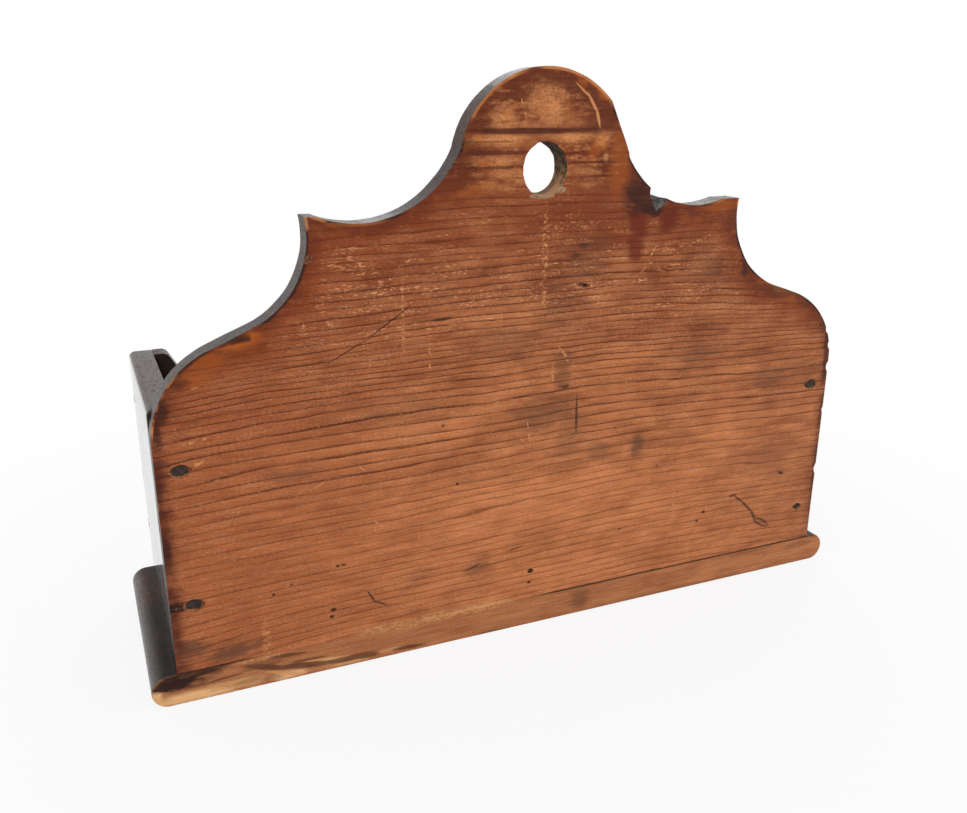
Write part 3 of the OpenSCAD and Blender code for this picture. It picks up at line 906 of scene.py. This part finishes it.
def sawn_backboard():
    """The shaped plank, built up from slabs and discs and then hollowed. Also gives the tips of its horns."""
    deep = (BACK_IN, BACK_Y)
    past = (BACK_IN - 2, BACK_Y + 2)

    def slab(name, x_low, x_high, h_low, h_high, slices=()):
        return block(name, (x_low, deep[0], BASE_T + h_low), (x_high, deep[1], BASE_T + h_high), slices)

    board = slab("backboard_worn", -HALF_W, HALF_W, 0, CHEEK_H)
    tips = {}
    for side in (-1, 1):
        # the straight run between cheek and hollow touches both circles
        x, h, radius = UNDER[side]
        gap = math.hypot(x - CHEEK_X, h - CHEEK_H)
        lean = math.atan2(h - CHEEK_H, x - CHEEK_X) - math.acos((CHEEK_R + radius) / gap)
        run = (math.cos(lean), math.sin(lean))
        cheek_end = (CHEEK_X + CHEEK_R * run[0], CHEEK_H + CHEEK_R * run[1])
        under_end = (x - radius * run[0], h - radius * run[1])
        tip = tips[side] = (x - math.sqrt(radius**2 - (HORN_H[side] - h)**2), HORN_H[side])
        inner, outer = sorted((0, side * cheek_end[0]))
        shoulder = slab("shoulder", inner, outer, CHEEK_H - 20, cheek_end[1] + 20,
                        [leaning(cheek_end, under_end, side)])
        inner, outer = sorted((0, side * under_end[0]))
        crown = slab("crown", inner, outer, CHEEK_H + 5, HORN_H[side], [leaning(under_end, tip, side)])
        for added in (disc("cheek", side * CHEEK_X, CHEEK_H, CHEEK_R, *deep), shoulder, crown):
            carve(board, added, "UNION")
    neck_w, neck_top = 74.0, DOME[1] + 13.0
    carve(board, slab("neck", -neck_w, neck_w, HORN_H[1] - 12, neck_top), "UNION")
    for side in (-1, 1):
        for x, h, radius in (HOLLOW[side], UNDER[side]):
            carve(board, disc("hollow", side * x, h, radius, *past))
    dome = disc("dome", *DOME, *deep)
    (x, h), (low_x, low_h) = FLAT
    pick(dome, lambda mid, way: True)
    bpy.ops.mesh.bisect(plane_co=(x, 0, BASE_T + h), plane_no=Vector((low_h - h, 0, x - low_x)).normalized(),
                        use_fill=True, clear_outer=True)
    done()
    carve(board, dome, "UNION")
    redrawn(board, BACK_Y - BACK_IN)
    return board, tips


def hole_tool():
    """The hanging hole, bored by hand: a little tall, and worn wider towards the back and the bottom."""
    hole = disc("hole", 0, 0, 1, -8, 8, 72)
    for point in hole.data.vertices:
        at_back = point.co.y > 0
        flare = 0.5 if at_back else -0.3
        droop = 0.7 if at_back and point.co.z < BASE_T else 0.0
        point.co = (point.co.x * (HOLE_R - 0.2 + flare), point.co.y + BACK_MID,
                    (point.co.z - BASE_T) * (HOLE_R + 0.8 + flare + droop) + BASE_T + HOLE_H)
    pick(hole, lambda mid, way: abs(way.y) > 5)
    bpy.ops.mesh.subdivide(number_cuts=6)
    done()
    hand_worn(hole, 0.55, 4, ("X", "Z"))
    hole.data.materials.append(HOLE_WALL)
    return hole


def chip_tool():
    """A corner knocked off the edge beside the dome: a steep break, then a slanted one rising outwards."""
    foot = (CHIP_FOOT[0], BACK_Y, BASE_T + CHIP_FOOT[1])
    low = (CHIP_X[0], BACK_IN - 2, BASE_T + CHIP_H[0])
    high = (CHIP_X[1], BACK_Y + 3, BASE_T + CHIP_H[1])
    chip = block("chip", low, high, [(foot, way) for way in CHIP_BREAKS])
    pick(chip, lambda mid, way: True)
    bpy.ops.mesh.subdivide(number_cuts=4)
    done()
    hand_worn(chip, 0.5, 3, ("X", "Y", "Z"))
    chip.data.materials.append(CHIPPED_WOOD)
    return chip


def make_backboard():
    """The backboard, sawn, worn, holed, chipped and pitted."""
    board, tips = sawn_backboard()
    round_off(board, 1.5, 4, lambda mid, way: abs(way.y) > 5 and any(
        side * mid.x > tip[0] - 3 and abs(mid.z - BASE_T - tip[1]) < 1 for side, tip in tips.items()))
    divide_edges(board, lambda mid, way: abs(way.y) < 0.01)
    hand_worn(board, 0.3, 11, ("X", "Z"))
    carve(board, hole_tool())
    pit_back(board, "torn_lip", TORN_LIP, TORN_WOOD, 0.5)
    carve(board, chip_tool())
    ease(board, 0.9, angle=34)

    upper, lower = NAILS["back_nails_left"]   # the lower one is flush and tight
    carve(board, nail_pits([upper, *NAILS["back_nails_right"]]))
    carve(board, nail_pits([lower], 3.8, 2.3, 1.3))
    pit_back(board, "pin_holes", [(x, h, r * 1.2, 3.5, r * 0.85) for x, h, r in PIN_HOLES], CRUSHED_WOOD)
    pit_back(board, "nicks", NICKS, CRUSHED_WOOD)
    pit_back(board, "nail_track", NAIL_TRACK, VARNISH_SAWN)

    def board_finish(mid, normal):
        if normal.y > 0.35:
            return BARE_BACK
        if normal.y < -0.9:
            return VARNISH_ACROSS
        return VARNISH_SAWN if abs(normal.y) < 0.3 else ARRIS

    paint(board, board_finish, keep=(HOLE_WALL, TORN_WOOD, CHIPPED_WOOD, CRUSHED_WOOD, VARNISH_SAWN))
    finished(board, "backboard")


def make_base():
    """The base board: half-round ends, a slightly knocked back edge."""
    board = block("base_board_worn", BASE[0], BASE[1])
    end = BASE[1].x
    round_off(board, BASE_T / 2 * 0.985, 12, lambda mid, way: abs(way.y) > 50 and abs(mid.x) > end - 1)
    divide_edges(board, lambda mid, way: abs(way.x) > 50)
    hand_worn(board, 0.22, 14, ("Y", "Z"))
    ease(board, 0.9)
    below = [place for node, places in NAILS.items() if node.startswith("base") for place in places]
    carve(board, nail_pits(below))

    # the top is one face, so its inside is cut apart from the ledges before it is painted
    alone(board)
    bpy.ops.object.mode_set(mode="EDIT")
    for x in (LEFT[1].x, RIGHT[0].x):
        bpy.ops.mesh.select_all(action="SELECT")
        bpy.ops.mesh.bisect(plane_co=(x, 0, 0), plane_no=(1, 0, 0))
    done()

    def base_finish(mid, normal):
        if normal.y > 0.45:
            return BASE_EDGE
        if normal.z > 0.9 and abs(mid.x) < RIGHT[0].x and FRONT[1].y < mid.y < BACK_IN:
            return INSIDE
        return ARRIS if 0.15 < abs(normal.y) < 0.9 else VARNISH_LEDGE

    paint(board, base_finish)
    finished(board, "base_board")


def make_side(hand, limits, side):
    """A plain side board, its outer top arris worn round."""
    board = block(f"{hand}_side_worn", limits[0], limits[1])
    round_off(board, 3.4, 6,
              lambda mid, way: abs(way.y) > 50 and mid.z > SIDE_TOP - 1 and mid.x * side > SIDE_MID)
    divide_edges(board, lambda mid, way: True)
    hand_worn(board, 0.15, 14, ("X", "Z"))
    ease(board, 0.7)
    carve(board, nail_pits(NAILS[f"front_nails_{hand}"], 4.0, 2.4, 1.2))

    def side_finish(mid, normal):
        if normal.x * side < -0.8:
            return INSIDE
        if normal.z > 0.5:
            return VARNISH_TOPS
        flat = max(map(abs, normal)) > 0.93 and normal.y < 0.8   # the rear end is left rubbed
        return VARNISH_ENDWAYS if flat or normal.z > 0.2 else ARRIS

    paint(board, side_finish)
    finished(board, f"{hand}_side")


def make_front():
    """The front board, set between the sides, its top scooped out in the middle."""
    half = FRONT[1].x
    top, lip = SIDE_TOP, SIDE_TOP - SCOOP_DEPTH
    high = half - SCOOP_SHOULDER
    low = high - SCOOP_DEPTH / math.tan(SCOOP_SLOPE)
    board = block("front_board_worn", FRONT[0], FRONT[1])
    scoop = block("scoop", (-high - 8, FRONT[0].y - 2, lip), (high + 8, FRONT[1].y + 2, top + 6),
                  [((side * low, 0, lip), (side * math.sin(SCOOP_SLOPE), 0, -math.cos(SCOOP_SLOPE)))
                   for side in (-1, 1)])
    round_off(scoop, LIP_R * math.tan(SCOOP_SLOPE / 2), 14,
              lambda mid, way: abs(way.y) > 5 and mid.z < lip + 1)
    carve(board, scoop)
    redrawn(board, FRONT[1].y - FRONT[0].y)
    round_off(board, SHOULDER_R * math.tan(SCOOP_SLOPE / 2), 5,
              lambda mid, way: abs(way.y) > 5 and mid.z > top - 1 and abs(mid.x) < half - 2)
    divide_edges(board, lambda mid, way: True)
    hand_worn(board, 0.2, 14, ("X", "Z"))
    # the scoop's inner arris is cut back
    round_off(board, 3.6, 2, lambda mid, way: mid.y > FRONT[1].y - 0.2 and abs(way.y) < 0.5
              and lip - 2 < mid.z < top - 0.8 and abs(mid.x) < high + 1)
    ease(board, 0.7)

    def front_finish(mid, normal):
        if normal.y > 0.8:
            return INSIDE
        if normal.z > 0.4:
            return VARNISH_SAWN
        return VARNISH_ACROSS if max(map(abs, normal)) > 0.93 else ARRIS

    paint(board, front_finish)
    finished(board, "front_board")


def make_nail(length):
    """One cut nail at the origin, driven towards -Z: a hammered head drawn out into a tapered shank."""
    bpy.ops.object.select_all(action="DESELECT")
    bpy.ops.mesh.primitive_cube_add(size=1, location=(0, 0, -SUNK - HEAD_T / 2))
    bpy.context.object.scale = (HEAD_L, HEAD_W, HEAD_T)
    nail = placed("nail")
    pick(nail, lambda mid, normal: normal.z < -0.9, faces=True)
    bpy.ops.mesh.inset(thickness=(HEAD_W - NAIL_T) / 2)
    bpy.ops.transform.resize(value=(NAIL_W / (HEAD_L - HEAD_W + NAIL_T), 1, 1), center_override=(0, 0, 0))
    bpy.ops.mesh.extrude_region_move(TRANSFORM_OT_translate={"value": (0, 0, HEAD_T + SUNK - length)})
    bpy.ops.transform.resize(value=(TIP_W / NAIL_W, 1, 1), center_override=(0, 0, 0))
    done()
    round_off(nail, 0.9, 3, lambda mid, way: abs(way.z) > 0.5 and mid.z > -SUNK - HEAD_T)
    pick(nail, lambda mid, normal: normal.z > 0.9, faces=True)
    bpy.ops.mesh.inset(thickness=0.7)
    bpy.ops.mesh.inset(thickness=0.7)
    bpy.ops.transform.translate(value=(0, 0, -0.18))
    done()
    ease(nail, 0.22, 2, 30)
    return nail


def make_nails(pattern, node, places):
    """The nails of one joint line, each hammered a little differently."""
    copies = []
    for number, place in enumerate(places):
        copy = pattern.copy()
        copy.data = pattern.data.copy()
        bpy.context.scene.collection.objects.link(copy)
        copy.data.transform(place @ Matrix.Rotation(math.radians((7, -9, 4)[number % 3]), 4, "Z"))
        hand_worn(copy, 0.16, 1.6 + 0.3 * number, ("X", "Y", "Z"))
        copies.append(copy)
    nails = joined(copies)
    nails.name = f"{node}_iron"
    nails.data.materials.append(IRON)
    finished(nails, node, 40)


make_backboard()
make_base()
make_side("left", LEFT, -1)
make_side("right", RIGHT, 1)
make_front()
short_nail, long_nail = make_nail(NAIL_L), make_nail(BASE_NAIL_L)
for node, places in NAILS.items():
    make_nails(long_nail if node.startswith("base") else short_nail, node, places)
for pattern in (short_nail, long_nail):
    bpy.data.objects.remove(pattern)


# ---------------------------------------------------------------- stage, light and camera

ROOM_LIGHT = 0.62   # how strongly the white room lights the object
FLOOR_FADE = (230.0, 520.0)   # over this stretch, in mm from the middle, the floor and its shadow turn white


def make_stage():
    """A white floor that keeps a soft shadow, in a white room."""
    bpy.ops.object.select_all(action="DESELECT")
    bpy.ops.mesh.primitive_plane_add(size=12, location=(0, 0, -0.0004))
    floor = placed("floor")
    f = Finish("white_floor")
    white = f.seen_white() * f.vector("LENGTH", f.place).rise(*FLOOR_FADE, 0.86, 1.0)
    chalk = f.node("ShaderNodeBsdfDiffuse", None, {"Color": (0.86, 0.86, 0.86, 1)})
    glow = f.node("ShaderNodeEmission", None, {"Color": (1, 1, 1, 1), "Strength": 1.0})
    both = f.node("ShaderNodeMixShader", None, {0: white, 1: chalk, 2: glow})
    f.node("ShaderNodeOutputMaterial", None, {"Surface": both})
    floor.data.materials.append(f.material)

    world = bpy.data.worlds.new("white_room")
    bpy.context.scene.world = world
    room = Nodes(world)
    strength = room.node("ShaderNodeMapRange", None,
                         {"Value": room.seen_white(), "To Min": ROOM_LIGHT, "To Max": 1.0})
    light = room.node("ShaderNodeBackground", None, {"Color": (1, 1, 1, 1), "Strength": strength})
    room.node("ShaderNodeOutputWorld", None, {"Surface": light})


def make_lamp(name, place, aim, size, watts):
    """A square lamp, turned from its place to its aim, both in metres."""
    data = bpy.data.lights.new(name, "AREA")
    data.shape, data.size, data.energy = "SQUARE", size, watts
    lamp = bpy.data.objects.new(name, data)
    bpy.context.scene.collection.objects.link(lamp)
    lamp.location = place
    lamp.rotation_euler = (Vector(aim) - Vector(place)).to_track_quat("-Z", "Y").to_euler()


def make_camera():
    """The photograph's viewpoint: behind the box, to its right and above, close up."""
    place = (0.2108, 0.4720, 0.2793)
    heading, down, roll = 156.5, 18.29, 0.22
    focal_px, frame_w = 944.3, 967
    data = bpy.data.cameras.new("photo_view")
    data.sensor_width = 36.0
    data.lens = focal_px / frame_w * data.sensor_width
    camera = bpy.data.objects.new("photo_view", data)
    bpy.context.scene.collection.objects.link(camera)
    camera.location = place
    turn = (Matrix.Rotation(math.radians(heading), 4, "Z") @ Matrix.Rotation(math.radians(90 - down), 4, "X")
            @ Matrix.Rotation(math.radians(roll), 4, "Z"))
    camera.rotation_euler = turn.to_euler()
    bpy.context.scene.camera = camera


make_stage()
make_lamp("window", (1.0, 1.5, 1.3), (0, 0, 0.12), 1.1, 14)
make_lamp("fill", (-1.3, 1.3, 0.9), (0, 0, 0.12), 1.4, 7)
make_lamp("front_light", (-0.8, -1.4, 1.2), (0, 0, 0.1), 1.4, 9)
make_camera()
bpy.context.scene.view_settings.view_transform = "Standard"
